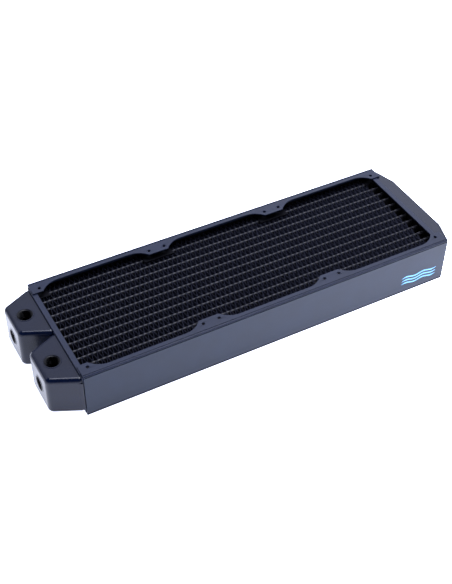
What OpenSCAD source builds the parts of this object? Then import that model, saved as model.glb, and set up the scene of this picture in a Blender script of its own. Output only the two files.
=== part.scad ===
// Liquid cooling radiator for three 120 mm fans in a row.
// A flat-tube copper core lies in a sheet-steel housing with fan rails above
// and below. Two separate port tanks stand at the -X end and one return tank
// stands at the +X end.
// Frame: the origin is the centre of the middle fan's screw pattern on the
// underside, +X runs towards the return tank and +Z is up.

/* [Fans] */
// Size of one fan frame
fan_size = 120; // [120]
// Distance between the screws of one fan
fan_screw_pitch = 105; // [105]
// Number of fans in the row
fan_count = 3; // [1:1:4]
// Inner diameter of a tapped M3 screw hole
screw_hole_d = 2.5; // [2.5:0.1:3.2]
// Depth of the 45 degree countersink of a screw hole
screw_sink = 0.45; // [0.1:0.05:0.5]

/* [Housing] */
// Overall width of the housing
housing_w = 124; // [124:1:130]
// Overall height of the housing
housing_h = 46; // [44:1:60]
// Thickness of the housing sheet
sheet = 1; // [0.8:0.1:1.2]
// Thickness of the fan rails
rail_t = 1.2; // [1:0.1:1.5]
// Width of a fan rail between the screw tabs
rail_narrow_w = 3.7; // [3:0.1:6]
// Width of a fan rail across a screw tab
rail_tab_w = 12; // [11:0.5:14]
// Length of the straight edge of a tab between two fans
tab_flat = 19; // [17:1:24]
// Radius of the hollow between a tab and the narrow rail
tab_hollow_r = 20; // [14:1:24]
// Width of the shadow gap between a fan rail and the folded bead
rail_gap = 0.45; // [0.2:0.05:0.5]
// Width of the shadow gap between the folded bead and a side cover
cover_gap = 0.9; // [0.3:0.1:1]

/* [Core] */
// Number of flat tubes
tube_count = 12; // [8:2:14]
// Thickness of a flat tube
tube_t = 2; // [1.6:0.1:2.4]
// Depth of the core from face to face
core_depth = 30; // [24:1:32]
// Wall of a flat tube
tube_wall = 0.3; // [0.25:0.05:0.4]
// Length of one full fold of the fins
fin_period = 4.62; // [3.6:0.02:6]
// Thickness of the fin strip
fin_t = 0.16; // [0.12:0.02:0.2]
// Length of the flat on each fin crest
fin_crest = 0.9; // [0.6:0.1:1.2]

/* [Tube plates] */
// Outer face of the tube plate at the port end
port_plate_x = -180.8; // [-181:0.1:-180.2]
// Outer face of the tube plate at the return end
return_plate_x = 176.5; // [176:0.1:178]
// Width of the collar of a tube plate
collar_w = 4.6; // [4:0.1:5]
// Thickness of a tube plate
plate_t = 1.2; // [1:0.1:1.5]
// Length of bare tube between the fins and a collar
fin_margin = 3.3; // [2:0.1:5]

/* [Tanks] */
// End face of the port tanks
port_face_x = -207.5; // [-208:0.5:-206]
// End face of the return tank
return_face_x = 190; // [188:0.5:192]
// Thickness of a tank wall
tank_wall = 1.2; // [1:0.1:1.5]
// Height of the port tanks
port_tank_h = 39.2; // [38:0.2:41]
// Edge radius of the port tanks
port_edge_r = 4.2; // [3:0.2:4.4]
// Edge radius of the return tank
return_edge_r = 3.6; // [3:0.2:4]

/* [Ports] */
// Bore of a G1/4 threaded bush
port_bore_d = 11.445; // [11.445]
// Outer diameter of a threaded bush
bush_d = 16; // [15.5:0.1:16.5]
// Length of a threaded bush
bush_len = 9.5; // [9:0.1:10]
// How far a bush stands out of the tank
bush_proud = 0.2; // [0.1:0.1:0.5]
// Distance of the ports from the middle plane
port_y = 30.4; // [29:0.1:32]
// Distance of the top and bottom ports from the end face
port_setback = 13.1; // [12.5:0.1:14]

/* [Hidden] */
// Smallest lap between two shapes of one solid
lap = 0.01;
housing_l = fan_size * fan_count;
half_l = housing_l / 2;
half_w = housing_w / 2;
mid_z = housing_h / 2;
web_out = half_w - sheet;
web_in = web_out - sheet;
// Distance of a fan rail from the channel's web
rail_setback = 0.3;
rail_out = web_in - rail_setback;
rail_under = housing_h - rail_t;
flange_under = rail_under - sheet;
flange_w = 4;
bead_r = 1;
screw_y = fan_screw_pitch / 2;

fin_gap = (2 * web_in - tube_count * tube_t) / (tube_count + 1);
tube_pitch = fin_gap + tube_t;
core_low = mid_z - core_depth / 2;
core_high = mid_z + core_depth / 2;
// How far a tube stands out of its tube plate, into the tank
tube_out = 1.5;
fin_x0 = port_plate_x + collar_w + fin_margin;
fin_room = return_plate_x - collar_w - fin_margin - fin_x0;
fin_periods = round(fin_room / fin_period);

plate_half_w = web_in;
plate_step_y = web_out - sheet - flange_w;
plate_low_z = rail_t + sheet;
// The collars are cut away beyond this distance from the middle plane
notch_y = 48.5;

port_low_z = mid_z - port_tank_h / 2;
port_high_z = mid_z + port_tank_h / 2;
port_x = port_face_x + port_setback;
// How much lower than the collars the return tank stands
return_drop = 0.2;
return_low_z = rail_t + return_drop;
return_high_z = rail_under - return_drop;

// Screw guards: thickness, inner edge, height above the core, and how far
// they run past a tab and stop short of a collar
guard_t = 0.8;
guard_reach = 46.5;
guard_clear = 0.6;
guard_overhang = 5;
guard_gap = 0.4;

// Plan of one port tank, on its +Y side: inner and outer edge at the tube
// plate and at the end face, and the length of the straight skirt
lobe_inner_plate = 0.6;
lobe_outer_plate = 60;
lobe_inner_face = 11.5;
lobe_outer_face = 48.5;
lobe_skirt = 2.4;

// Plan of the return tank: half width at the tube plate and at the end face
return_half_plate = 59.8;
return_half_face = 37.4;
return_skirt = 6.5;

function pad2(i) = i < 10 ? str("0", i) : str(i);
TUBES = [for (i = [1 : tube_count]) str("tube_", pad2(i))];
FINS = [for (i = [1 : tube_count + 1]) str("fin_strip_", pad2(i))];

// ---------------------------------------------------------------- placing

// Turns a part of the front side (-Y) into its twin at the back
module back_side() {
    mirror([0, 1, 0]) children();
}

// Turns a part of the top into its twin on the underside
module underside() {
    translate([0, 0, mid_z]) mirror([0, 0, 1]) translate([0, 0, -mid_z]) children();
}

// Runs a profile drawn in Y and Z along X
module along_x(x0, x1) {
    translate([x0, 0, 0]) rotate([90, 0, 90]) linear_extrude(height = x1 - x0) children();
}

// ---------------------------------------------------------------- housing

// Half profile of a side channel: web, flange and the folded bead above it
module channel_half() {
    // web
    translate([-web_out, mid_z]) square([sheet, flange_under + sheet - mid_z]);
    // flange under the fan rail
    translate([-web_out, flange_under]) square([flange_w + sheet, sheet]);
    // bead, rounded on its outer edge
    bead_in = rail_out + rail_gap;
    difference() {
        translate([-half_w, rail_under - lap]) square([half_w - bead_in, rail_t + lap]);
        translate([-half_w, housing_h - bead_r]) difference() {
            translate([-1, 0]) square([1 + bead_r, 1 + bead_r]);
            translate([bead_r, 0]) circle(r = bead_r, $fn = 32);
        }
    }
}

// The flanges end at the return end's tube plate, because the return tank
// stands between the webs there
module side_channel() {
    color("#3b3f4d") difference() {
        along_x(-half_l, half_l) {
            channel_half();
            translate([0, housing_h]) mirror([0, 1]) channel_half();
        }
        translate([return_plate_x, -web_in, flange_under - lap])
            cube([housing_l, web_in, sheet + lap]);
        translate([return_plate_x, -web_in, rail_t])
            cube([housing_l, web_in, sheet + lap]);
    }
}

// Flat cover over the web, with a shadow gap under each bead
module side_cover() {
    cover_low = rail_t + cover_gap;
    color("#4a5062") along_x(-half_l, half_l) {
        translate([-half_w, cover_low]) square([sheet, housing_h - 2 * cover_low]);
    }
}

// Middle of each screw tab of a rail
function tab_centres() = [for (i = [0 : fan_count]) (i - fan_count / 2) * fan_size];

// Half a screw tab: a flat edge and one hollow arc that runs into the
// narrow rail
module tab_half() {
    depth = rail_tab_w - rail_narrow_w;
    reach = tab_flat / 2 + sqrt(pow(tab_hollow_r, 2) - pow(tab_hollow_r - depth, 2));
    difference() {
        polygon([
            [-lap, 0],
            [reach, 0],
            [reach, rail_narrow_w],
            [tab_flat / 2, rail_tab_w],
            [-lap, rail_tab_w]
        ]);
        translate([reach, rail_narrow_w + tab_hollow_r]) circle(r = tab_hollow_r, $fn = 120);
    }
}

// Screw places of the row of fans along one rail
function screw_xs() = [
    for (i = [0 : fan_count - 1])
        for (side = [-1, 1])
            (i - (fan_count - 1) / 2) * fan_size + side * fan_screw_pitch / 2
];

// Tapped hole with a countersink, its mouth at z = 0 and its body below
module screw_hole() {
    mouth_d = screw_hole_d + 2 * screw_sink;
    translate([0, 0, -rail_t - 1]) cylinder(d = screw_hole_d, h = rail_t + 2, $fn = 32);
    translate([0, 0, -screw_sink])
        cylinder(d1 = screw_hole_d, d2 = mouth_d + 2 * screw_sink, h = 2 * screw_sink, $fn = 32);
}

module fan_rail() {
    color("#3a3c4e") difference() {
        translate([0, -rail_out, rail_under]) linear_extrude(height = rail_t) intersection() {
            union() {
                translate([-half_l, 0]) square([housing_l, rail_narrow_w]);
                for (x = tab_centres()) translate([x, 0]) {
                    tab_half();
                    mirror([1, 0]) tab_half();
                }
            }
            translate([-half_l, 0]) square([housing_l, rail_tab_w]);
        }
        for (x = screw_xs()) translate([x, -screw_y, housing_h]) screw_hole();
    }
}

// Angle plate under a tab that keeps a long screw off the tubes
module screw_guard(x0, x1, reach) {
    plate_z = core_high + guard_clear;
    translate([x0, -web_in, plate_z]) cube([x1 - x0, web_in - reach, guard_t]);
    translate([x0, -web_in, plate_z]) cube([x1 - x0, guard_t, flange_under - plate_z]);
}

// The last guard lies in the cut-away corner of the return end's collar
module screw_guards() {
    half = tab_flat / 2 + guard_overhang;
    first_x = port_plate_x + collar_w + guard_gap;
    last_x = return_plate_x - plate_t - guard_gap;
    color("#2f3139") {
        screw_guard(first_x, -half_l + half, guard_reach);
        for (i = [1 : fan_count - 1]) {
            screw_guard(tab_centres()[i] - half, tab_centres()[i] + half, guard_reach);
        }
        screw_guard(half_l - half, last_x, notch_y + guard_gap);
    }
}

// ---------------------------------------------------------------- core

// Outline of a flat tube in Y and Z, shrunk by inset
module tube_outline(inset) {
    r = tube_t / 2 - inset;
    straight = core_depth - tube_t;
    translate([-r, mid_z - straight / 2]) square([2 * r, straight]);
    for (side = [-1, 1]) translate([0, mid_z + side * straight / 2]) circle(r = r, $fn = 24);
}

function tube_y(i) = (i - (tube_count + 1) / 2) * tube_pitch;

module tube(i) {
    color("#6b5a50") translate([0, tube_y(i), 0])
        along_x(port_plate_x - tube_out, return_plate_x + tube_out) difference() {
            tube_outline(0);
            tube_outline(tube_wall);
        }
}

// One folded strip: crest flats touch the tubes and the folds lean between.
// The strip is the band between two zigzags that lie fin_t apart.
function fin_lean() = fin_period / 2 - fin_crest;
function fin_half() = fin_gap / 2;
function fin_corner() = fin_t / 2 * tan((90 - atan(fin_lean() / (fin_gap - fin_t))) / 2);

// Zigzag points of one face of the strip; side is 1 for the +Y face
function fin_face(side) = [
    for (k = [0 : fin_periods - 1]) each [
        [k * fin_period + side * fin_corner(), -fin_half() + (1 + side) * fin_t / 2],
        [k * fin_period + fin_crest - side * fin_corner(), -fin_half() + (1 + side) * fin_t / 2],
        [(k + 0.5) * fin_period - side * fin_corner(), fin_half() - (1 - side) * fin_t / 2],
        [(k + 0.5) * fin_period + fin_crest + side * fin_corner(), fin_half() - (1 - side) * fin_t / 2]
    ]
];

function reversed(points) = [for (k = [len(points) - 1 : -1 : 0]) points[k]];

module fin_strip(i) {
    color("#15161a") translate([fin_x0, tube_y(i) - tube_pitch / 2, core_low])
        linear_extrude(height = core_depth)
            polygon(concat(fin_face(1), reversed(fin_face(-1))));
}

// ---------------------------------------------------------------- tube plates

// Tube plate with its collar folded towards the core. The plate lies between
// x and x + plate_t, and the collar runs on to x + collar_w.
module tube_plate(x) {
    difference() {
        union() {
            translate([x, -plate_half_w, plate_low_z])
                cube([collar_w, 2 * plate_half_w, housing_h - 2 * plate_low_z]);
            translate([x, -plate_step_y, rail_t])
                cube([collar_w, 2 * plate_step_y, housing_h - 2 * rail_t]);
        }
        // inside of the collar
        translate([x + plate_t, -plate_half_w + plate_t, rail_t + plate_t])
            cube([collar_w, 2 * (plate_half_w - plate_t), housing_h - 2 * (rail_t + plate_t)]);
        // the collar is cut away under the end screws
        for (y = [-plate_half_w - 1, notch_y]) {
            translate([x + plate_t, y, core_high + guard_clear])
                cube([collar_w, plate_half_w + 1 - notch_y, housing_h]);
            translate([x + plate_t, y, core_low - guard_clear - housing_h])
                cube([collar_w, plate_half_w + 1 - notch_y, housing_h]);
        }
        for (i = [1 : tube_count]) translate([0, tube_y(i), 0])
            along_x(x - 1, x + plate_t + 1) tube_outline(0);
    }
}

module tube_plate_port_end() {
    color("#45485a") tube_plate(port_plate_x);
}

module tube_plate_return_end() {
    color("#45485a") mirror([1, 0, 0]) tube_plate(-return_plate_x);
}

// ---------------------------------------------------------------- tanks

// A ball at each corner where an edge of the end face meets a slope, and
// round bars along the skirt; the hull over them is the tank's outer shape
module lobe_body(inset, open_x) {
    r = port_edge_r - inset;
    low = port_low_z + port_edge_r;
    high = port_high_z - port_edge_r;
    skirt_x = port_plate_x - lobe_skirt;
    lean_out = port_edge_r * tan((90 - atan(lobe_slope_out())) / 2);
    hull() {
        for (z = [low, high]) {
            for (y = [lobe_inner_face + port_edge_r, lobe_outer_face - lean_out])
                translate([port_face_x + port_edge_r, y, z]) sphere(r = r, $fn = 32);
            for (y = [lobe_inner_plate + port_edge_r, lobe_outer_plate - port_edge_r])
                translate([skirt_x, y, z]) rotate([0, 90, 0])
                    cylinder(r = r, h = open_x - skirt_x, $fn = 32);
        }
    }
}

function lobe_slope_out() =
    (lobe_outer_plate - lobe_outer_face) / (port_plate_x - lobe_skirt - port_face_x);

module port_tank() {
    color("#43455a") difference() {
        lobe_body(0, port_plate_x);
        lobe_body(tank_wall, port_plate_x + 1);
        for (z = [port_low_z - 1, port_high_z - tank_wall - 2])
            translate([port_x, port_y, z]) cylinder(d = bush_d, h = tank_wall + 3, $fn = 64);
        translate([port_face_x - 1, port_y, mid_z]) rotate([0, 90, 0])
            cylinder(d = bush_d, h = tank_wall + 3, $fn = 64);
    }
}

module return_body(inset, open_x) {
    r = return_edge_r - inset;
    low = return_low_z + return_edge_r;
    high = return_high_z - return_edge_r;
    hull() {
        for (z = [low, high]) for (side = [-1, 1]) {
            translate([return_face_x - return_edge_r, side * (return_half_face - return_edge_r), z])
                sphere(r = r, $fn = 32);
            translate([open_x, side * (return_half_plate - return_edge_r), z]) rotate([0, 90, 0])
                cylinder(r = r, h = return_plate_x + return_skirt - open_x, $fn = 32);
        }
    }
}

module return_tank() {
    color("#43455a") difference() {
        return_body(0, return_plate_x);
        return_body(tank_wall, return_plate_x - 1);
    }
}

// ---------------------------------------------------------------- ports

// Threaded bush with its mouth at z = 0 and its body below
module bush() {
    color("#9a8350") rotate_extrude($fn = 64) polygon([
        [port_bore_d / 2, -bush_len],
        [bush_d / 2, -bush_len],
        [bush_d / 2, 0],
        [port_bore_d / 2, 0]
    ]);
}

module bush_top() {
    translate([port_x, port_y, port_high_z + bush_proud]) bush();
}

module bush_bottom() {
    translate([port_x, port_y, port_low_z - bush_proud]) rotate([180, 0, 0]) bush();
}

module bush_end() {
    translate([port_face_x - bush_proud, port_y, mid_z]) rotate([0, -90, 0]) bush();
}

// ---------------------------------------------------------------- nodes

side_channel();  // side_channel_front
back_side() side_channel();  // side_channel_back
side_cover();  // side_cover_front
back_side() side_cover();  // side_cover_back
fan_rail();  // fan_rail_top_front
back_side() fan_rail();  // fan_rail_top_back
underside() fan_rail();  // fan_rail_bottom_front
underside() back_side() fan_rail();  // fan_rail_bottom_back
screw_guards();  // screw_guards_top_front
back_side() screw_guards();  // screw_guards_top_back
underside() screw_guards();  // screw_guards_bottom_front
underside() back_side() screw_guards();  // screw_guards_bottom_back
tube_plate_port_end();
tube_plate_return_end();
back_side() port_tank();  // port_tank_front
port_tank();  // port_tank_back
return_tank();
back_side() bush_top();  // bush_front_top
back_side() bush_bottom();  // bush_front_bottom
back_side() bush_end();  // bush_front_end
bush_top();  // bush_back_top
bush_bottom();  // bush_back_bottom
bush_end();  // bush_back_end
for (i = [1 : tube_count]) tube(i);
for (i = [1 : tube_count + 1]) fin_strip(i);
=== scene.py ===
"""Looks of a liquid cooling radiator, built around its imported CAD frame.

The sheet-metal housing, tube plates and screw guards are CAD nodes with rounded edges and paint.
The tanks, threaded bushes, flat tubes and folded fins are detailed pieces that replace theirs.
"""
import math

import bmesh
import bpy
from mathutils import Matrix, Quaternion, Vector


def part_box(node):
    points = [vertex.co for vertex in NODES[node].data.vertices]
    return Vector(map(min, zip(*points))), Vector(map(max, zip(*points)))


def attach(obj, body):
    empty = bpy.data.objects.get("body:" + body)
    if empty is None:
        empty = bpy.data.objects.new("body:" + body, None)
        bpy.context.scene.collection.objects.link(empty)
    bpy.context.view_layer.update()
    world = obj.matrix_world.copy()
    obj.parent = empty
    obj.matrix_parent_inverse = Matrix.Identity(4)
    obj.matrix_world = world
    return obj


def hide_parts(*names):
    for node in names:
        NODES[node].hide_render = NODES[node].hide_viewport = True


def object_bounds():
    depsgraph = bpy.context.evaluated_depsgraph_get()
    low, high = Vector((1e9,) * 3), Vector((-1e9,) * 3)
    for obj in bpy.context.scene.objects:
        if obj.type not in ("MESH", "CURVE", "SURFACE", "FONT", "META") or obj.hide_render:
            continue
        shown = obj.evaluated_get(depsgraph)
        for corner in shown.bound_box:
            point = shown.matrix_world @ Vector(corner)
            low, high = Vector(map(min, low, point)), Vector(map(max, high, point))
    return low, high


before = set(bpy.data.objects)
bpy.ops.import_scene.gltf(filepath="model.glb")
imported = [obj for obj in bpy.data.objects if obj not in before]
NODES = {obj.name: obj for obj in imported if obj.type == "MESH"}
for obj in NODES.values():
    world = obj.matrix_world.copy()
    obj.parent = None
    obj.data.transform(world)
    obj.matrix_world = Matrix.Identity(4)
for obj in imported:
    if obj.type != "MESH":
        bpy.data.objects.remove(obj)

MM = 0.001
SAME_POINT = 0.0001 * MM
CAD_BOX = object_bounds()


# ------------------------------------------------------------------ helpers

def names(prefix):
    """CAD nodes whose names start with prefix, in order."""
    return sorted(n for n in NODES if n.startswith(prefix))


def piece_from_mesh(name, mesh, material, node=None):
    """A mesh piece that rides on the root and may stand for a CAD node."""
    obj = bpy.data.objects.new(name, mesh)
    bpy.context.scene.collection.objects.link(obj)
    for m in material if isinstance(material, list) else [material]:
        if m.name not in mesh.materials:
            mesh.materials.append(m)
    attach(obj, "root")
    if node:
        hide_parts(node)
    return obj


def fix_normals(mesh):
    bm = bmesh.new()
    bm.from_mesh(mesh)
    bmesh.ops.remove_doubles(bm, verts=bm.verts, dist=SAME_POINT)
    bmesh.ops.recalc_face_normals(bm, faces=bm.faces)
    bm.to_mesh(mesh)
    bm.free()


def shade(obj, sharp_degrees=35):
    """Smooth shading with sharp edges kept and flat faces left flat."""
    mesh = obj.data
    mesh.polygons.foreach_set("use_smooth", [True] * len(mesh.polygons))
    mesh.set_sharp_from_angle(angle=math.radians(sharp_degrees))
    weighted = obj.modifiers.new("weighted_normals", "WEIGHTED_NORMAL")
    weighted.keep_sharp = True


def round_edges(obj, width, segments=2):
    """Rolled edges on a CAD sheet-metal node."""
    weld = obj.modifiers.new("weld", "WELD")
    weld.merge_threshold = 0.00001
    bevel = obj.modifiers.new("bevel", "BEVEL")
    bevel.width = width
    bevel.segments = segments
    bevel.limit_method = "ANGLE"
    bevel.angle_limit = math.radians(40)
    bevel.harden_normals = True


# ------------------------------------------------------------------ materials

def node_material(name):
    material = bpy.data.materials.new(name)
    material.use_nodes = True
    return material, material.node_tree.nodes, material.node_tree.links


def noise(nodes, links, scale, detail=3.0):
    where = nodes.new("ShaderNodeTexCoord")
    texture = nodes.new("ShaderNodeTexNoise")
    texture.inputs["Scale"].default_value = scale
    texture.inputs["Detail"].default_value = detail
    links.new(where.outputs["Object"], texture.inputs["Vector"])
    return texture.outputs["Fac"]


def span(nodes, links, value, low, high):
    """value from 0.3..0.7 mapped to low..high."""
    mapped = nodes.new("ShaderNodeMapRange")
    mapped.inputs["From Min"].default_value = 0.3
    mapped.inputs["From Max"].default_value = 0.7
    mapped.inputs["To Min"].default_value = low
    mapped.inputs["To Max"].default_value = high
    links.new(value, mapped.inputs["Value"])
    return mapped.outputs["Result"]


def blend_colour(nodes, links, factor, first, second):
    mix = nodes.new("ShaderNodeMix")
    mix.data_type = "RGBA"
    mix.inputs["A"].default_value = (*first, 1)
    mix.inputs["B"].default_value = (*second, 1)
    links.new(factor, mix.inputs["Factor"])
    return mix.outputs["Result"]


def inside_core(nodes, links):
    """1 on what faces the core from inside the housing, 0 elsewhere: the mask of the painted shade there.
    """
    where = nodes.new("ShaderNodeTexCoord")
    last = where.outputs["Object"]
    low, high = CORE_BOX
    steps = (("SUBTRACT", (low + high) / 2), ("ABSOLUTE", None), ("SUBTRACT", (high - low) / 2))
    for operation, vector in steps:
        step = nodes.new("ShaderNodeVectorMath")
        step.operation = operation
        links.new(last, step.inputs[0])
        if vector:
            step.inputs[1].default_value = vector
        last = step.outputs["Vector"]
    parts = nodes.new("ShaderNodeSeparateXYZ")
    links.new(last, parts.inputs["Vector"])
    outside = parts.outputs["X"]
    for name in ("Y", "Z"):
        larger = nodes.new("ShaderNodeMath")
        larger.operation = "MAXIMUM"
        links.new(outside, larger.inputs[0])
        links.new(parts.outputs[name], larger.inputs[1])
        outside = larger.outputs[0]
    inside = nodes.new("ShaderNodeMath")
    inside.operation = "LESS_THAN"
    inside.inputs[1].default_value = 0
    links.new(outside, inside.inputs[0])
    return inside.outputs[0]


def powder_coat(name, colour, roughness=0.42, specular=0.5, grain=0.35, painted_shade_inside=False):
    """Satin powder coat: cloudy tone, fine orange peel and a slightly uneven gloss.

    Where asked for, the faces round the core and behind the covers' gaps get painted shade: black
    mixed into the colour, standing in for the shadow that falls there.
    """
    material, nodes, links = node_material(name)
    shader = nodes["Principled BSDF"]
    cloud = noise(nodes, links, 60.0, 2.0)
    peel = noise(nodes, links, 950.0, 2.0)
    speck = noise(nodes, links, 3600.0, 1.0)
    darker = tuple(c * 0.9 for c in colour)
    lighter = tuple(c * 1.12 for c in colour)
    tone = blend_colour(nodes, links, span(nodes, links, cloud, 0, 1), darker, lighter)
    # Painted shade: black in place of the paint colour round the core and in the covers' gaps.
    if painted_shade_inside:
        black = nodes.new("ShaderNodeMix")
        black.data_type = "RGBA"
        links.new(inside_core(nodes, links), black.inputs["Factor"])
        links.new(tone, black.inputs["A"])
        black.inputs["B"].default_value = (*PAINTED_SHADE_BLACK, 1)
        tone = black.outputs["Result"]
    links.new(tone, shader.inputs["Base Color"])
    links.new(span(nodes, links, speck, roughness - 0.05, roughness + 0.05), shader.inputs["Roughness"])
    shader.inputs["Specular IOR Level"].default_value = specular
    bump = nodes.new("ShaderNodeBump")
    bump.inputs["Strength"].default_value = grain
    bump.inputs["Distance"].default_value = 0.00003
    links.new(peel, bump.inputs["Height"])
    links.new(bump.outputs["Normal"], shader.inputs["Normal"])
    return material


def dark_film(name, colour, tint, roughness, specular):
    """Copper or brass under a thin, blotchy film of black paint and flux."""
    material, nodes, links = node_material(name)
    shader = nodes["Principled BSDF"]
    blotch = noise(nodes, links, 420.0, 4.0)
    grain = noise(nodes, links, 2600.0, 2.0)
    film = span(nodes, links, blotch, 0, 1)
    links.new(blend_colour(nodes, links, film, colour, tint), shader.inputs["Base Color"])
    links.new(span(nodes, links, grain, roughness - 0.08, roughness + 0.1), shader.inputs["Roughness"])
    shader.inputs["Specular IOR Level"].default_value = specular
    bump = nodes.new("ShaderNodeBump")
    bump.inputs["Strength"].default_value = 0.5
    bump.inputs["Distance"].default_value = 0.00004
    links.new(blotch, bump.inputs["Height"])
    links.new(bump.outputs["Normal"], shader.inputs["Normal"])
    return material


def tube_film(name, highlight_colour, dull):
    """Paint film on a flat tube with painted highlight dashes: light and satin near the back fin crests,
    dark and dull round the front crests, where the painted highlight breaks.
    """
    material = dark_film(name, highlight_colour, tuple(c * 0.8 for c in highlight_colour), 0.4, 0.3)
    nodes, links = material.node_tree.nodes, material.node_tree.links
    shader = nodes["Principled BSDF"]
    where = nodes.new("ShaderNodeTexCoord")
    parts = nodes.new("ShaderNodeSeparateXYZ")
    links.new(where.outputs["Object"], parts.inputs["Vector"])
    from_crest = parts.outputs["X"]
    first_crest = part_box("fin_strip_01")[0].x + FIN_CREST / 2
    for operation, number in (("SUBTRACT", first_crest), ("DIVIDE", FIN_PERIOD), ("PINGPONG", 0.5)):
        step = nodes.new("ShaderNodeMath")
        step.operation = operation
        step.inputs[1].default_value = number
        links.new(from_crest, step.inputs[0])
        from_crest = step.outputs[0]
    # Painted highlight: light base colour for the dashes of the tube's highlight, dark for the breaks
    # between them.
    gap = nodes.new("ShaderNodeMapRange")
    gap.interpolation_type = "SMOOTHSTEP"
    gap.inputs["From Min"].default_value = 0.2
    gap.inputs["From Max"].default_value = 0.31
    links.new(from_crest, gap.inputs["Value"])
    blended = (("Base Color", "RGBA", (*dull, 1)), ("Roughness", "FLOAT", DULL_ROUGHNESS))
    for socket, data_type, between in blended:
        mix = nodes.new("ShaderNodeMix")
        mix.data_type = data_type
        first, second = [i for i in mix.inputs if i.enabled and i.name in "AB"]
        links.new(gap.outputs["Result"], mix.inputs["Factor"])
        links.new(shader.inputs[socket].links[0].from_socket, first)
        second.default_value = between
        links.new([o for o in mix.outputs if o.enabled][0], shader.inputs[socket])
    return material


def pool(nodes, links, centre, radius, strength):
    """Painted light of a round pool on the glowing table, painted shade where strength is below 0:
    strength at its centre, 0 from its radius on.
    """
    where = nodes.new("ShaderNodeTexCoord")
    distance = nodes.new("ShaderNodeVectorMath")
    distance.operation = "DISTANCE"
    distance.inputs[1].default_value = (*centre, 0)
    links.new(where.outputs["Object"], distance.inputs[0])
    mapped = nodes.new("ShaderNodeMapRange")
    mapped.interpolation_type = "SMOOTHSTEP"
    mapped.inputs["From Max"].default_value = radius
    mapped.inputs["To Min"].default_value = strength
    mapped.inputs["To Max"].default_value = 0
    links.new(distance.outputs["Value"], mapped.inputs["Value"])
    return mapped.outputs["Result"]


def floor_material():
    """White glowing table, with a pool of painted light towards the front right and a pool of painted
    shade at the left end.
    """
    material, nodes, links = node_material("studio_floor")
    shader = nodes["Principled BSDF"]
    cloud = noise(nodes, links, 3.0, 2.0)
    tone = blend_colour(nodes, links, cloud, (0.90, 0.90, 0.91), (0.93, 0.93, 0.94))
    links.new(tone, shader.inputs["Base Color"])
    shader.inputs["Roughness"].default_value = 0.9
    shader.inputs["Specular IOR Level"].default_value = 0.1
    glow = TABLE_GLOW
    for centre, radius, strength in TABLE_LIGHT_AND_SHADE_POOLS:
        add = nodes.new("ShaderNodeMath")
        add.operation = "ADD"
        links.new(pool(nodes, links, centre, radius, strength), add.inputs[0])
        if isinstance(glow, float):
            add.inputs[1].default_value = glow
        else:
            links.new(glow, add.inputs[1])
        glow = add.outputs[0]
    shader.inputs["Emission Color"].default_value = (*LAMP_COLOUR, 1)
    links.new(glow, shader.inputs["Emission Strength"])
    return material


def studio_world():
    """Dark room with a bright band along the horizon."""
    world = bpy.data.worlds.new("studio_world")
    world.use_nodes = True
    nodes, links = world.node_tree.nodes, world.node_tree.links
    where = nodes.new("ShaderNodeTexCoord")
    parts = nodes.new("ShaderNodeSeparateXYZ")
    links.new(where.outputs["Generated"], parts.inputs["Vector"])
    band = nodes.new("ShaderNodeMapRange")
    band.interpolation_type = "SMOOTHSTEP"
    band.inputs["From Min"].default_value = 0.12
    band.inputs["From Max"].default_value = 0.38
    band.inputs["To Min"].default_value = 1.3
    band.inputs["To Max"].default_value = 0.05
    links.new(parts.outputs["Z"], band.inputs["Value"])
    nodes["Background"].inputs["Color"].default_value = (*LAMP_COLOUR, 1)
    links.new(band.outputs["Result"], nodes["Background"].inputs["Strength"])
    return world


def core_box():
    """Box from flange to flange, plate to plate and web to web, the floor of the covers' gaps included."""
    margin = 0.05 * MM
    fin_low, fin_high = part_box("fin_strip_01")
    plates = [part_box(name) for name in ("tube_plate_port_end", "tube_plate_return_end")]
    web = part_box("side_cover_back")[0].y + margin
    low = Vector((plates[0][0].x + PLATE - margin, -web, fin_low.z - CORE_RECESS))
    high = Vector((plates[1][1].x - PLATE + margin, web, fin_high.z + CORE_RECESS))
    return low, high


# Black of the painted shade round the core and in the covers' gaps.
PAINTED_SHADE_BLACK = (0.0008, 0.0008, 0.0012)
DULL_ROUGHNESS = 0.85
FIN_PERIOD = 4.62 * MM
FIN_CREST = 0.9 * MM
PLATE = 1.2 * MM
CORE_RECESS = 5.7 * MM
CORE_BOX = core_box()
LAMP_COLOUR = (0.80, 0.84, 1.0)
TABLE_GLOW = 1.7
# Pools of painted light (strength above 0) and painted shade (below 0) on the table: centre, radius,
# strength.
TABLE_LIGHT_AND_SHADE_POOLS = [((0.30, -0.15), 0.55, 1.8), ((-0.28, 0.03), 0.22, -0.5)]
HOUSING = powder_coat("housing_powder_coat", (0.009, 0.014, 0.035), roughness=0.36, specular=0.25,
                      painted_shade_inside=True)
COVER = powder_coat("cover_powder_coat", (0.004, 0.011, 0.030), roughness=0.40, specular=0.25)
TANK = powder_coat("tank_powder_coat", (0.001, 0.0035, 0.016), roughness=0.22, specular=0.25, grain=0.12)
GUARD = powder_coat("guard_matt_black", (0.002, 0.002, 0.004), roughness=0.7, specular=0.1)
FIN = dark_film("fin_black_film", (0.030, 0.033, 0.054), (0.043, 0.046, 0.073), 0.6, 0.08)
# Tube film: colour of the painted highlight dashes, then colour of their dark breaks.
TUBE = tube_film("tube_paint_film", (0.046, 0.045, 0.052), (0.008, 0.008, 0.012))
THREAD = dark_film("thread_black_film", (0.0012, 0.0015, 0.003), (0.003, 0.0035, 0.006), 0.28, 0.15)
INK = powder_coat("mark_blue_ink", (0.16, 0.52, 0.86), roughness=0.4)


# ------------------------------------------------------------------ tanks

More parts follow.
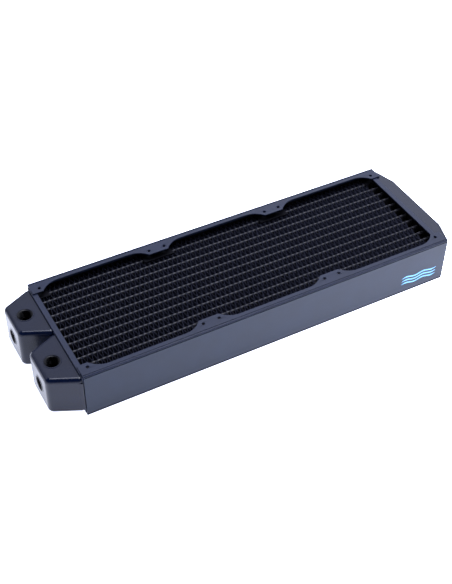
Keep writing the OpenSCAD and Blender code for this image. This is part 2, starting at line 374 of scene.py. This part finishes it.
EDGE_STEPS = 6
CORNER_STEPS = 6
WALL = 1.2 * MM
TANK_EDGE = 4.2 * MM
PORT_SKIRT = 2.4 * MM
PORT_SKIRT_CORNER = 3.2 * MM
PORT_FACE_CORNER = 5.5 * MM
SLOPE_INNER = 10.9 * MM
SLOPE_OUTER = 11.5 * MM
BUSH_HOLE_LENGTH = 8 * MM
SEAM_STEPS = 8
RETURN_EDGE = 3.6 * MM
RETURN_SKIRT = 6.5 * MM
RETURN_SKIRT_CORNER = 4 * MM
RETURN_FACE_CORNER = 5 * MM
RETURN_FACE_HALF = 37.4 * MM


class Outline:
    """Plan of a tank with rounded corners, which can be drawn smaller by any inset.

    Each corner is (x, y, radius). A corner of radius 0 lies on the tube plate, where an inset moves it
    along Y only.
    """

    def __init__(self, corners):
        self.corners = corners

    def points(self, inset):
        count = len(self.corners)
        middle_y = sum(y for _, y, _ in self.corners) / count
        made = []
        for i, (x, y, radius) in enumerate(self.corners):
            if radius == 0:
                toward_middle = 1 if middle_y > y else -1
                made.append((x, y + toward_middle * inset))
                continue
            here = Vector((x, y))
            before = (Vector(self.corners[i - 1][:2]) - here).normalized()
            after = (Vector(self.corners[(i + 1) % count][:2]) - here).normalized()
            half = before.angle(after) / 2
            inward = (before + after).normalized() / math.sin(half)
            if inset >= radius:
                made += [tuple(here + inward * inset)] * (CORNER_STEPS + 1)
                continue
            centre = here + inward * radius
            reach = radius / math.tan(half)
            first = (here + before * reach - centre).normalized()
            last = (here + after * reach - centre).normalized()
            for k in range(CORNER_STEPS + 1):
                made.append(tuple(centre + first.slerp(last, k / CORNER_STEPS) * (radius - inset)))
        return made


def rounded_body(outline, low, high, edge_radius, inset=0.0):
    """Verts and faces of a closed body: rings of the outline, drawn in towards both flat ends."""
    rings = []
    for k in range(EDGE_STEPS + 1):
        angle = math.pi / 2 * k / EDGE_STEPS
        rings.append((edge_radius * (1 - math.sin(angle)), low + edge_radius * (1 - math.cos(angle))))
    rings += [(drawn_in, high + low - z) for drawn_in, z in reversed(rings)]
    verts, faces = [], []
    for drawn_in, z in rings:
        verts += [(x, y, z) for x, y in outline.points(inset + drawn_in)]
    count = len(verts) // len(rings)
    for ring in range(len(rings) - 1):
        for i in range(count):
            j = (i + 1) % count
            a, b = ring * count, (ring + 1) * count
            faces.append((a + i, a + j, b + j, b + i))
    faces.append(tuple(range(count)))
    faces.append(tuple(range(len(verts) - count, len(verts))))
    return verts, faces


def mesh_of(name, verts, faces):
    mesh = bpy.data.meshes.new(name)
    mesh.from_pydata(verts, [], faces)
    fix_normals(mesh)
    return mesh


def cut(mesh, cutters):
    """mesh with each cutter mesh taken out of it."""
    body = bpy.data.objects.new("cut_body", mesh)
    bpy.context.scene.collection.objects.link(body)
    tools = []
    for cutter in cutters:
        tool = bpy.data.objects.new("cut_tool", cutter)
        bpy.context.scene.collection.objects.link(tool)
        tools.append(tool)
        boolean = body.modifiers.new("cut", "BOOLEAN")
        boolean.operation = "DIFFERENCE"
        boolean.solver = "EXACT"
        boolean.object = tool
    ready = bpy.context.evaluated_depsgraph_get()
    made = bpy.data.meshes.new_from_object(body.evaluated_get(ready))
    for obj in [body, *tools]:
        bpy.data.objects.remove(obj)
    return made


def drill(centre, axis, radius, length, steps=72):
    """Cylinder mesh used as a cutter: its middle is at centre and it lies along axis."""
    bm = bmesh.new()
    bmesh.ops.create_cone(bm, cap_ends=True, segments=steps, radius1=radius, radius2=radius, depth=length)
    turn = Vector((0, 0, 1)).rotation_difference(Vector(axis)).to_matrix().to_4x4()
    bmesh.ops.transform(bm, matrix=turn, verts=bm.verts)
    bmesh.ops.translate(bm, vec=Vector(centre), verts=bm.verts)
    mesh = bpy.data.meshes.new("drill")
    bm.to_mesh(mesh)
    bm.free()
    return mesh


BUSH_AXES = {"top": (0, 0, 1), "bottom": (0, 0, -1), "end": (-1, 0, 0)}


def bush_mouth(side, place):
    """Centre of a bush's mouth, its axis, its outer radius and its length, from the CAD node's box."""
    low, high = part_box(f"bush_{side}_{place}")
    axis = Vector(BUSH_AXES[place])
    middle = (low + high) / 2
    half = (high - low) / 2
    depth = abs(half.dot(axis))
    radius = sorted(half)[1]
    return middle + axis * depth, axis, radius, 2 * depth


def port_tank(side):
    """One of the two tapered tanks, hollow, with its three port holes."""
    node = f"port_tank_{side}"
    low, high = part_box(node)
    sign = 1 if side == "back" else -1
    inner, outer = sorted((abs(low.y), abs(high.y)))
    face_inner, face_outer = inner + SLOPE_INNER, outer - SLOPE_OUTER
    corners = [
        (high.x, inner, 0),
        (high.x, outer, 0),
        (high.x - PORT_SKIRT, outer, PORT_SKIRT_CORNER),
        (low.x, face_outer, PORT_FACE_CORNER),
        (low.x, face_inner, PORT_FACE_CORNER),
        (high.x - PORT_SKIRT, inner, PORT_SKIRT_CORNER),
    ]
    corners = [(x, sign * y, r) for x, y, r in corners]
    plan = Outline(corners)
    outside = mesh_of(node, *rounded_body(plan, low.z, high.z, TANK_EDGE))
    inside = mesh_of("inside", *rounded_body(plan, low.z + WALL, high.z - WALL, TANK_EDGE - WALL, WALL))
    cutters = [inside]
    for place in BUSH_AXES:
        mouth, axis, radius, _ = bush_mouth(side, place)
        cutters.append(drill(mouth, axis, radius, BUSH_HOLE_LENGTH))
    obj = piece_from_mesh(f"{node}_shell", cut(outside, cutters), TANK, node)
    shade(obj)
    return obj


def tank_seam(side):
    """Painted solder fillet in the corner between a port tank's skirt and the housing's end."""
    low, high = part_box(f"port_tank_{side}")
    sign = 1 if side == "back" else -1
    skirt_y = max(abs(low.y), abs(high.y))
    reach_x, reach_y = 3.0 * MM, 1.6 * MM
    start, end = math.radians(12), math.radians(62)
    arc = []
    for k in range(SEAM_STEPS + 1):
        angle = start + (end - start) * k / SEAM_STEPS
        arc.append((math.sin(angle), math.cos(angle)))
    (x0, y0), (x1, y1) = arc[0], arc[-1]
    curve = [(high.x - reach_x * (1 - (x - x0) / (x1 - x0)), skirt_y + reach_y * (y0 - y) / (y0 - y1))
             for x, y in arc]
    outline = curve + [(high.x, skirt_y - WALL), (high.x - reach_x, skirt_y - WALL)]
    heights = (low.z + TANK_EDGE, high.z - TANK_EDGE)
    verts = [(x, sign * y, z) for z in heights for x, y in outline]
    count = len(outline)
    faces = [(i, (i + 1) % count, count + (i + 1) % count, count + i) for i in range(count)]
    faces += [tuple(range(count)), tuple(range(count, 2 * count))]
    obj = piece_from_mesh(f"tank_seam_{side}", mesh_of("seam", verts, faces), TANK)
    shade(obj)


def return_tank():
    """The closed tank at the far end, with bevelled corners and softly rounded edges."""
    low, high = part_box("return_tank")
    corners = [
        (low.x, -high.y, 0),
        (low.x + RETURN_SKIRT, -high.y, RETURN_SKIRT_CORNER),
        (high.x, -RETURN_FACE_HALF, RETURN_FACE_CORNER),
        (high.x, RETURN_FACE_HALF, RETURN_FACE_CORNER),
        (low.x + RETURN_SKIRT, high.y, RETURN_SKIRT_CORNER),
        (low.x, high.y, 0),
    ]
    plan = Outline(corners)
    outside = mesh_of("return_tank", *rounded_body(plan, low.z, high.z, RETURN_EDGE))
    inside_edge = RETURN_EDGE - WALL
    inside = mesh_of("inside", *rounded_body(plan, low.z + WALL, high.z - WALL, inside_edge, WALL))
    obj = piece_from_mesh("return_tank_shell", cut(outside, [inside]), TANK, "return_tank")
    shade(obj)
    return obj


# ------------------------------------------------------------------ threaded bushes

THREAD_PITCH = 1.337 * MM
THREAD_MINOR = 5.72 * MM
THREAD_MAJOR = 6.58 * MM
THREAD_FLAT = 0.12
BUSH_SINK = 0.35 * MM
BUSH_RIM = 0.25 * MM
BUSH_PAINTED_ROWS = 3
BUSH_TURN_STEPS = 80
THREAD_ROWS = 8


def thread_radius(depth, turn):
    """Radius of the thread at a depth below the mouth; turn goes from 0 to 1 round the bush."""
    phase = (depth / THREAD_PITCH + turn) % 1.0
    ridge = abs(2 * phase - 1)
    ridge = min(1.0, max(0.0, (ridge - THREAD_FLAT) / (1 - 2 * THREAD_FLAT)))
    return THREAD_MINOR + (THREAD_MAJOR - THREAD_MINOR) * ridge


def threaded_bush(side, place):
    """G1/4 bush: flat painted mouth ring, countersink and a true helical thread."""
    mouth, axis, radius, length = bush_mouth(side, place)
    threaded_length = length - BUSH_SINK
    rows = [(radius, length, False), (radius, BUSH_RIM, False), (radius - BUSH_RIM, 0.0, False),
            (THREAD_MAJOR + BUSH_SINK, 0.0, False), (THREAD_MAJOR + 0.02 * MM, BUSH_SINK, False)]
    steps = int(threaded_length / THREAD_PITCH * THREAD_ROWS)
    rows += [(None, BUSH_SINK + threaded_length * k / steps, True) for k in range(1, steps + 1)]
    turn_to = Vector((0, 0, 1)).rotation_difference(axis)
    verts, faces = [], []
    for row_radius, depth, threaded in rows:
        for k in range(BUSH_TURN_STEPS):
            turn = k / BUSH_TURN_STEPS
            r = thread_radius(depth, turn) if threaded else row_radius
            angle = 2 * math.pi * turn
            verts.append(mouth + turn_to @ Vector((r * math.cos(angle), r * math.sin(angle), -depth)))
    for row in range(len(rows)):
        following = (row + 1) % len(rows)
        for k in range(BUSH_TURN_STEPS):
            j = (k + 1) % BUSH_TURN_STEPS
            a, b = row * BUSH_TURN_STEPS, following * BUSH_TURN_STEPS
            faces.append((a + k, a + j, b + j, b + k))
    node = f"bush_{side}_{place}"
    mesh = mesh_of(node, verts, faces)
    obj = piece_from_mesh(f"{node}_threaded", mesh, [TANK, THREAD], node)
    for polygon in mesh.polygons:
        polygon.material_index = 0 if polygon.index < BUSH_PAINTED_ROWS * BUSH_TURN_STEPS else 1
    shade(obj, 40)
    return obj


# ------------------------------------------------------------------ core

FIN_THICK = 0.16 * MM
BEND_RADIUS = 0.32 * MM
BEND_STEPS = 3


def folded_line(x0, x1, y_low, y_high):
    """Middle line of a folded strip, with round bends: a list of (x, y)."""
    lean = FIN_PERIOD / 2 - FIN_CREST
    periods = round((x1 - x0 + lean) / FIN_PERIOD)
    corners = []
    for k in range(periods):
        start = x0 + k * FIN_PERIOD
        corners += [(start, y_low), (start + FIN_CREST, y_low),
                    (start + FIN_PERIOD / 2, y_high), (start + FIN_PERIOD / 2 + FIN_CREST, y_high)]
    line = [corners[0]]
    for before, here, after in zip(corners, corners[1:], corners[2:]):
        line += bend(Vector(before), Vector(here), Vector(after))
    line.append(corners[-1])
    return [tuple(p) for p in line]


def bend(before, here, after):
    """Points of a round bend at a corner."""
    into = (before - here).normalized()
    out = (after - here).normalized()
    half = into.angle(out) / 2
    reach = BEND_RADIUS / math.tan(half)
    start, end = here + into * reach, here + out * reach
    centre = here + (into + out).normalized() * (BEND_RADIUS / math.sin(half))
    made = []
    for k in range(BEND_STEPS + 1):
        direction = (start - centre).lerp(end - centre, k / BEND_STEPS).normalized()
        made.append(centre + direction * BEND_RADIUS)
    return made


def offset_line(line, distance):
    """The line moved sideways by distance, mitred at its points."""
    made = []
    for i, point in enumerate(line):
        here = Vector(point)
        before = Vector(line[max(i - 1, 0)])
        after = Vector(line[min(i + 1, len(line) - 1)])
        ways = [v.normalized() for v in (here - before, after - here) if v.length > 0]
        sides = [Vector((-v.y, v.x)) for v in ways]
        normal = sum(sides, Vector((0, 0))).normalized()
        made.append(here + normal * distance / max(0.5, normal.dot(sides[0])))
    return made


def fin_mesh(node):
    """One folded copper strip from the box of its CAD node."""
    low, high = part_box(node)
    half = FIN_THICK / 2
    line = folded_line(low.x, high.x, low.y + half, high.y - half)
    loop = offset_line(line, half) + list(reversed(offset_line(line, -half)))
    count = len(loop)
    verts = [(p.x, p.y, z) for z in (low.z, high.z) for p in loop]
    faces = [(i, (i + 1) % count, count + (i + 1) % count, count + i) for i in range(count)]
    for base in (0, count):
        for i in range(count // 2 - 1):
            faces.append((base + i, base + i + 1, base + count - 2 - i, base + count - 1 - i))
    return mesh_of(node, verts, faces)


NOSE_STEPS = 10
TUBE_SAMPLES = 10
SOLDER_REACH = 0.45 * MM
SOLDER_HALF = 0.2


def solder(phase):
    """How much solder stands on a tube's shoulder: 1 at a fin crest (phase 0), 0 away from it."""
    distance = abs((phase + 0.5) % 1.0 - 0.5)
    return max(0.0, 1 - (distance / SOLDER_HALF) ** 2) ** 0.5


def nose_point(angle, half_t, on_back, on_front):
    """Point of a tube's round nose (angle 0 = back side, pi = front side), as (y, height).

    Where solder stands on a shoulder, the round shoulder becomes a straight slope.
    """
    y, height = math.cos(angle), math.sin(angle)
    share = on_back if y > 0 else on_front
    slope_y = abs(1 - 2 * angle / math.pi)
    straight_y = math.copysign(slope_y * (half_t + SOLDER_REACH), y)
    straight_height = (1 - slope_y) * half_t
    return (y * half_t * (1 - share) + straight_y * share,
            height * half_t * (1 - share) + straight_height * share)


def tube_mesh(node, fin_low_x):
    """Flat tube with round noses, and solder on its shoulders where the fin crests meet it."""
    low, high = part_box(node)
    half_t = (high.y - low.y) / 2
    middle_y = (high.y + low.y) / 2
    count = int((high.x - low.x) / FIN_PERIOD * TUBE_SAMPLES)
    verts, faces = [], []
    ring = 2 * (NOSE_STEPS + 1)
    for i in range(count + 1):
        x = low.x + (high.x - low.x) * i / count
        phase = (x - fin_low_x - FIN_CREST / 2) / FIN_PERIOD
        on_back, on_front = solder(phase), solder(phase + 0.5)
        for end, sign in ((high.z, 1), (low.z, -1)):
            for k in range(NOSE_STEPS + 1):
                angle = math.pi * k / NOSE_STEPS
                y, height = nose_point(angle if sign > 0 else math.pi - angle, half_t, on_back, on_front)
                verts.append((x, middle_y + y, end - sign * (half_t - height)))
    for i in range(count):
        for k in range(ring):
            j = (k + 1) % ring
            faces.append((i * ring + k, i * ring + j, (i + 1) * ring + j, (i + 1) * ring + k))
    faces.append(tuple(range(ring)))
    faces.append(tuple(range(count * ring, (count + 1) * ring)))
    return mesh_of(node, verts, faces)


def row_of(nodes, mesh, material, old_word, new_word):
    """One piece per node, all with the first one's mesh, each moved across to its own node."""
    mesh.polygons.foreach_set("use_smooth", [True] * len(mesh.polygons))
    mesh.set_sharp_from_angle(angle=math.radians(50))
    first_low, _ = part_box(nodes[0])
    for node in nodes:
        obj = piece_from_mesh(node.replace(old_word, new_word), mesh, material, node)
        obj.location.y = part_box(node)[0].y - first_low.y


def fins():
    nodes = names("fin_strip_")
    row_of(nodes, fin_mesh(nodes[0]), FIN, "strip", "folds")


def tubes():
    nodes = names("tube_0") + names("tube_1")
    mesh = tube_mesh(nodes[0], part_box("fin_strip_01")[0].x)
    row_of(nodes, mesh, TUBE, "tube", "flat_tube")


# ------------------------------------------------------------------ printed mark

MARK_FROM_END = 47 * MM
MARK_LENGTH = 38 * MM
MARK_ROWS = 3
MARK_FIRST_ROW = 8.6
MARK_ROW_STEP = 3.6
MARK_LINE = 1.5 * MM
MARK_SWING = 0.9 * MM
MARK_WAVES = 2
MARK_STEPS = 48
MARK_THICK = 0.04 * MM
MARK_PROUD = 0.01 * MM


def wave_ribbon(x0, z, y):
    """A flat wavy ribbon on a plane of constant Y, narrower at both ends: verts and faces."""
    verts, faces = [], []
    for i in range(MARK_STEPS + 1):
        t = i / MARK_STEPS
        x = x0 + MARK_LENGTH * t
        middle = z + MARK_SWING * math.sin(2 * math.pi * MARK_WAVES * t)
        taper = MARK_LINE / 2 * min(1.0, 6 * t + 0.25, 6 * (1 - t) + 0.25)
        for dy, dz in ((MARK_THICK, -taper), (MARK_THICK, taper), (0, taper), (0, -taper)):
            verts.append((x, y + dy, middle + dz))
    for i in range(MARK_STEPS):
        for k in range(4):
            j = (k + 1) % 4
            faces.append((4 * i + k, 4 * i + j, 4 * i + 4 + j, 4 * i + 4 + k))
    faces.append((0, 1, 2, 3))
    faces.append(tuple(range(4 * MARK_STEPS, 4 * MARK_STEPS + 4)))
    return verts, faces


def printed_mark():
    """Plain blue wave pictogram where the cover carries its print."""
    low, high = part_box("side_cover_front")
    verts, faces = [], []
    for row in range(MARK_ROWS):
        z = low.z + (MARK_FIRST_ROW + MARK_ROW_STEP * row) * MM
        more, these = wave_ribbon(high.x - MARK_FROM_END, z, low.y - MARK_PROUD)
        base = len(verts)
        verts += more
        faces += [tuple(base + i for i in f) for f in these]
    mesh = mesh_of("wave_mark", verts, faces)
    piece_from_mesh("wave_mark", mesh, INK)


# ------------------------------------------------------------------ CAD nodes that stay

def painted_nodes(prefix, material, width):
    for name in names(prefix):
        obj = NODES[name]
        obj.data.materials.clear()
        obj.data.materials.append(material)
        round_edges(obj, width)


# ------------------------------------------------------------------ studio

AIM_FROM_MIDDLE = Vector((-11.4, -6.1, 0)) * MM
FLOOR_REACH = 8.0
FLOOR_GAP = 0.1 * MM


def camera():
    """The view that shows the port tanks at the left and the return tank at the upper right."""
    low, high = CAD_BOX
    aim = (low + high) / 2 + AIM_FROM_MIDDLE
    azimuth, elevation, roll = (math.radians(a) for a in (-29.29, 43.15, 0.94))
    distance = 963.6 * MM
    back = Vector((math.sin(azimuth) * math.cos(elevation),
                   -math.cos(azimuth) * math.cos(elevation), math.sin(elevation)))
    data = bpy.data.cameras.new("camera")
    data.sensor_width = 36
    data.lens = 66.43
    obj = bpy.data.objects.new("camera", data)
    obj.location = aim + back * distance
    obj.rotation_mode = "QUATERNION"
    obj.rotation_quaternion = (-back).to_track_quat("-Z", "Y") @ Quaternion((0, 0, 1), roll)
    bpy.context.scene.collection.objects.link(obj)
    bpy.context.scene.camera = obj


def softbox(name, place, size, power):
    """Rectangular lamp that faces the middle of the radiator."""
    data = bpy.data.lights.new(name, "AREA")
    data.shape = "RECTANGLE"
    data.size, data.size_y = size
    data.energy = power
    data.color = LAMP_COLOUR
    obj = bpy.data.objects.new(name, data)
    obj.location = place
    obj.rotation_mode = "QUATERNION"
    obj.rotation_quaternion = (Vector((0, 0, 0.02)) - Vector(place)).to_track_quat("-Z", "Y")
    bpy.context.scene.collection.objects.link(obj)


def around(azimuth, elevation, distance):
    """Place seen from the middle at an azimuth (0 = in front, 90 = at +X) and an elevation."""
    a, e = math.radians(azimuth), math.radians(elevation)
    return (distance * math.sin(a) * math.cos(e), -distance * math.cos(a) * math.cos(e),
            distance * math.sin(e) + 0.02)


def studio():
    """Floor, world and lamps."""
    mesh = bpy.data.meshes.new("floor")
    corners = [(x * FLOOR_REACH, y * FLOOR_REACH, 0) for x, y in ((-1, -1), (1, -1), (1, 1), (-1, 1))]
    mesh.from_pydata(corners, [], [(0, 1, 2, 3)])
    mesh.materials.append(floor_material())
    floor = bpy.data.objects.new("floor", mesh)
    floor.location.z = CAD_BOX[0].z - FLOOR_GAP
    bpy.context.scene.collection.objects.link(floor)
    bpy.context.scene.world = studio_world()
    bpy.context.scene.view_settings.view_transform = "Standard"
    softbox("overhead", (0.20, 0.15, 1.8), (1.2, 0.9), 42)
    softbox("right", around(90, 45, 1.3), (0.7, 0.7), 5)
    softbox("right_behind", around(135, 40, 1.4), (0.8, 0.7), 6)
    softbox("behind", around(180, 45, 1.4), (0.9, 0.7), 4)
    softbox("left_behind", around(225, 35, 1.4), (0.9, 0.7), 3)


camera()
for tank_side in ("front", "back"):
    port_tank(tank_side)
    tank_seam(tank_side)
    for port_place in BUSH_AXES:
        threaded_bush(tank_side, port_place)
return_tank()
fins()
tubes()
painted_nodes("side_channel", HOUSING, 0.12 * MM)
painted_nodes("side_cover", COVER, 0.15 * MM)
painted_nodes("fan_rail", HOUSING, 0.15 * MM)
painted_nodes("screw_guards", GUARD, 0.15 * MM)
painted_nodes("tube_plate", HOUSING, 0.25 * MM)
printed_mark()
studio()
